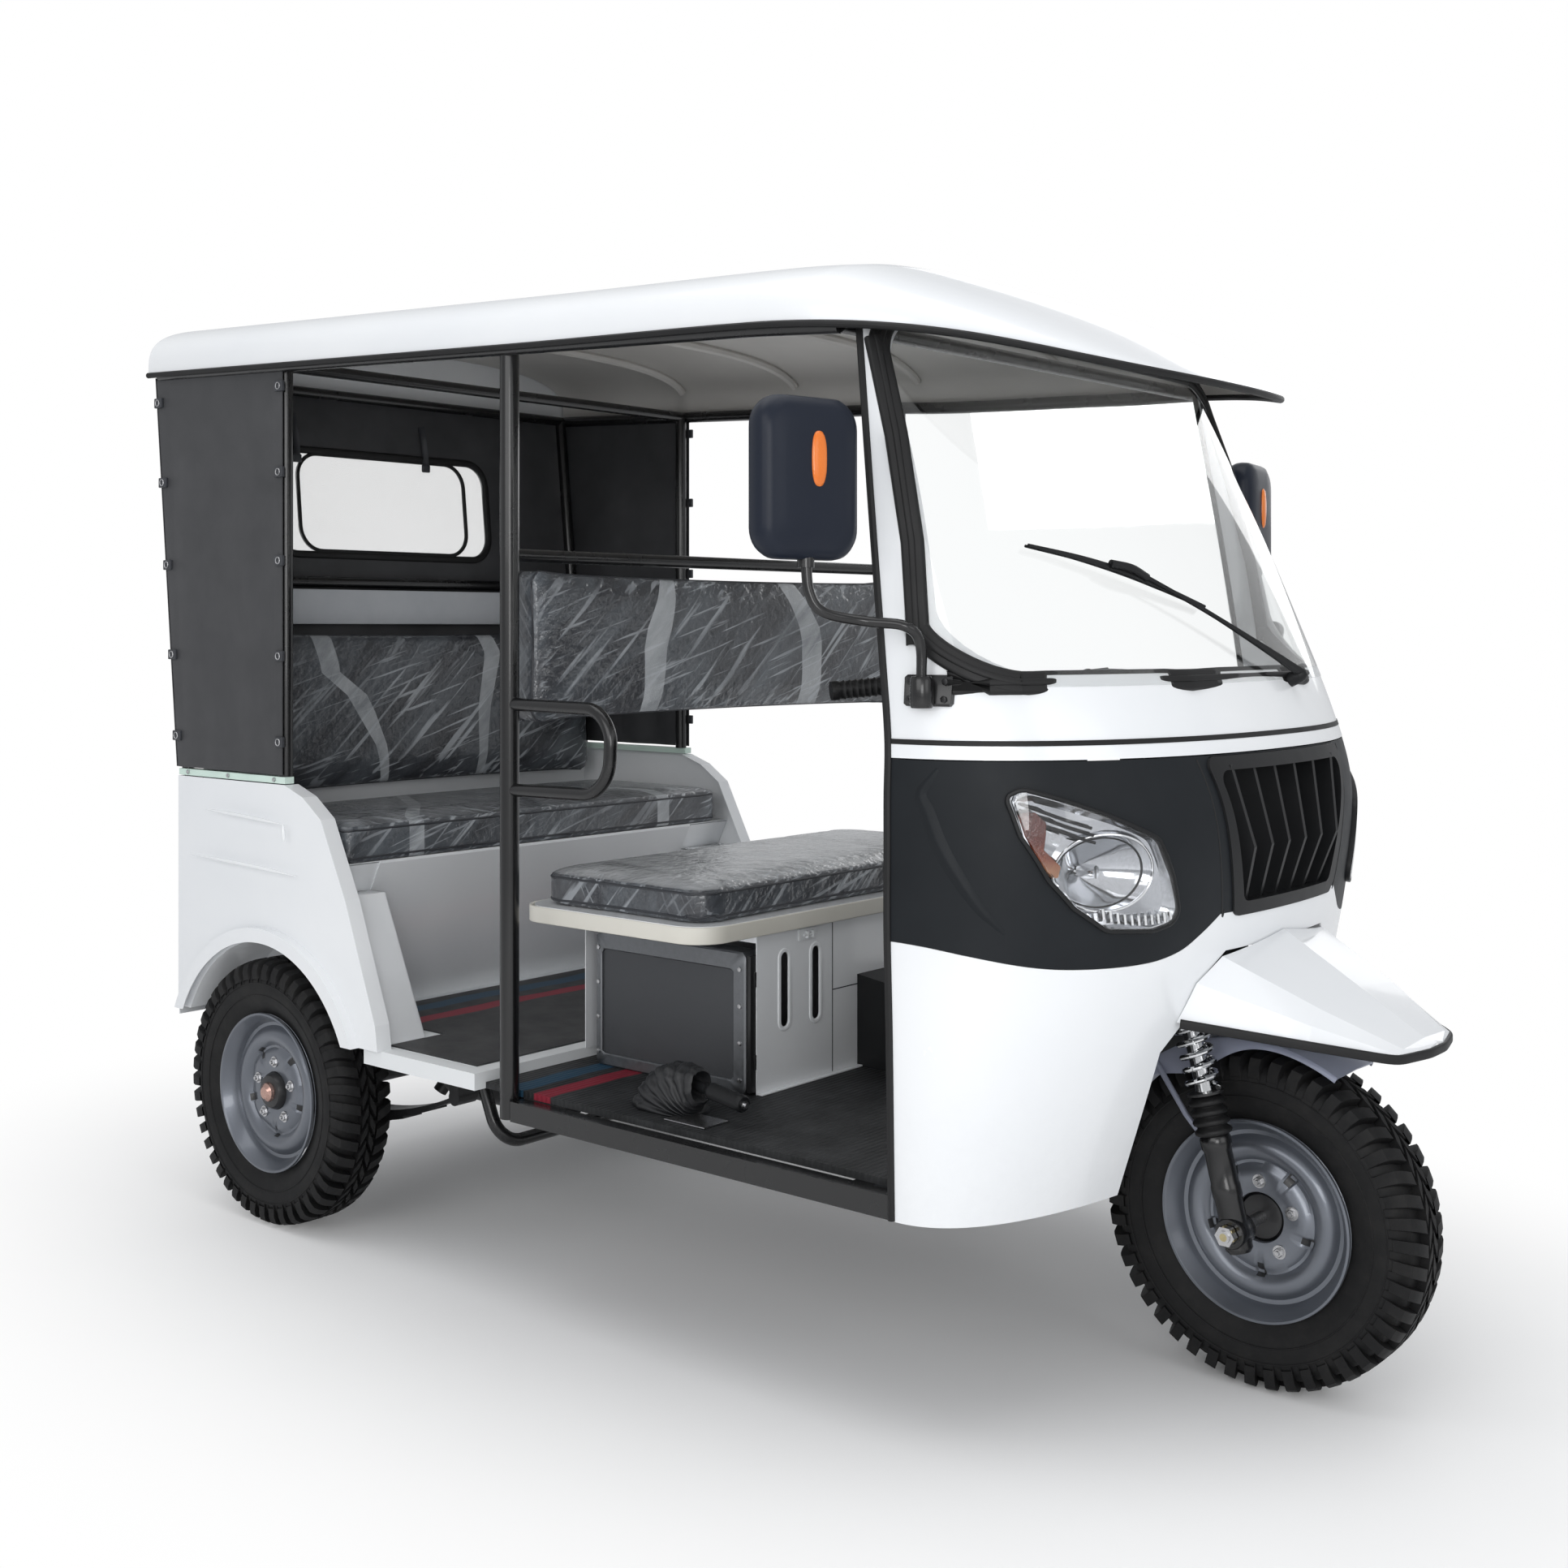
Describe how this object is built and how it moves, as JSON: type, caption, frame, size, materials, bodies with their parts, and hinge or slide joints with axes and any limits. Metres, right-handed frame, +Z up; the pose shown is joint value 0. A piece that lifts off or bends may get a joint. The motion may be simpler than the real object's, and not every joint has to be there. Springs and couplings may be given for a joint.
{
  "type": "auto rickshaw",
  "caption": "Three-wheeled passenger auto rickshaw with an open cab, steered front wheel, rear bench and fixed roof.",
  "frame": {"origin": "on the ground under the middle of the overall box", "axes": "+X forward, +Y to the vehicle's left, +Z up"},
  "size_m": [2.686, 1.6848, 1.966],
  "materials": {
    "white_paint": "gloss white",
    "black_band": "matte near-black blue",
    "black_tube": "gloss black",
    "black_plastic": "satin black",
    "floor_mat": "ribbed mat",
    "seat_vinyl": "vinyl under clear film",
    "curtain_vinyl": "coated cloth",
    "clear_vinyl": "clear sheet",
    "mint_paint": "pale mint",
    "screen_glass": "clear",
    "lamp_lens": "clear lens",
    "lamp_chrome": "bright",
    "black_rubber": "satin",
    "tyre_rubber": "new",
    "rim_paint": "blue-grey satin",
    "engine_alloy": "cast",
    "radiator_grey": "core and frame",
    "black_steel": "satin black",
    "bright_steel": "bright",
    "red_lens": "clear red"
  },
  "bodies": {
    "root": {"belt_rails": "mint_paint", "bench_backrest": "seat_vinyl", "bench_base": "white_paint", "bench_cushion": "seat_vinyl", "chassis_frame": "black_tube", "cowl_band": "black_band", "dashboard": "black_plastic", "driver_backrest": "seat_vinyl", "driver_floor": "floor_mat", "engine_block": "engine_alloy", "engine_box": "white_paint", "exhaust": "black_steel", "firewall": "black_plastic", "front_nose": "white_paint", "grille": "black_plastic", "handbrake_lever": "black_tube", "headlamp_housings": "lamp_chrome", "headlamp_lenses": "lamp_lens", "leaf_springs": "black_steel", "leg_shield": "white_paint", "mirrors": "black_plastic", "passenger_floor": "white_paint", "radiator": "radiator_grey", "rear_axle": "black_steel", "rear_curtain": "curtain_vinyl", "rear_window": "clear_vinyl", "roof_shell": "white_paint", "side_curtains": "curtain_vinyl", "step_bar": "black_tube", "tail_lamps": "red_lens", "tail_panel": "white_paint", "tub_sides": "white_paint", "tunnel_box": "black_plastic", "upper_cowl": "white_paint", "upper_frame": "black_tube", "windscreen_glass": "screen_glass", "windscreen_seal": "black_rubber", "wiper": "black_tube"},
    "seat_lid": {"seat_plate": "white_paint", "seat_cushion": "seat_vinyl"},
    "steering": {"fork_yoke": "black_steel", "fork_legs": "black_steel", "fork_springs": "bright_steel", "front_axle": "bright_steel", "fork_mudguard": "black_plastic", "handlebar": "black_plastic", "hand_grips": "black_rubber"},
    "front_wheel": {"tyre_front": "tyre_rubber", "rim_front": "rim_paint"},
    "rear_wheel_right": {"tyre_rear_right": "tyre_rubber", "rim_rear_right": "rim_paint"},
    "rear_wheel_left": {"tyre_rear_left": "tyre_rubber", "rim_rear_left": "rim_paint"}
  },
  "joints": [
    {"name": "steering_turn", "type": "hinge", "parent": "root", "child": "steering", "pos_m": [0.93957, 0, 0.634], "axis": [-0.2419, 0, 0.9703], "range_deg": [-35, 35]},
    {"name": "front_wheel_spin", "type": "hinge", "parent": "steering", "child": "front_wheel", "pos_m": [1.059, 0, 0.279], "axis": [0, 1, 0], "continuous": true},
    {"name": "rear_right_spin", "type": "hinge", "parent": "root", "child": "rear_wheel_right", "pos_m": [-0.909, -0.565, 0.279], "axis": [0, 1, 0], "continuous": true},
    {"name": "rear_left_spin", "type": "hinge", "parent": "root", "child": "rear_wheel_left", "pos_m": [-0.909, 0.565, 0.279], "axis": [0, 1, 0], "continuous": true},
    {"name": "seat_hinge", "type": "hinge", "parent": "root", "child": "seat_lid", "pos_m": [-0.249, 0, 0.702], "axis": [0, -1, 0], "range_deg": [0, 55]}
  ]
}
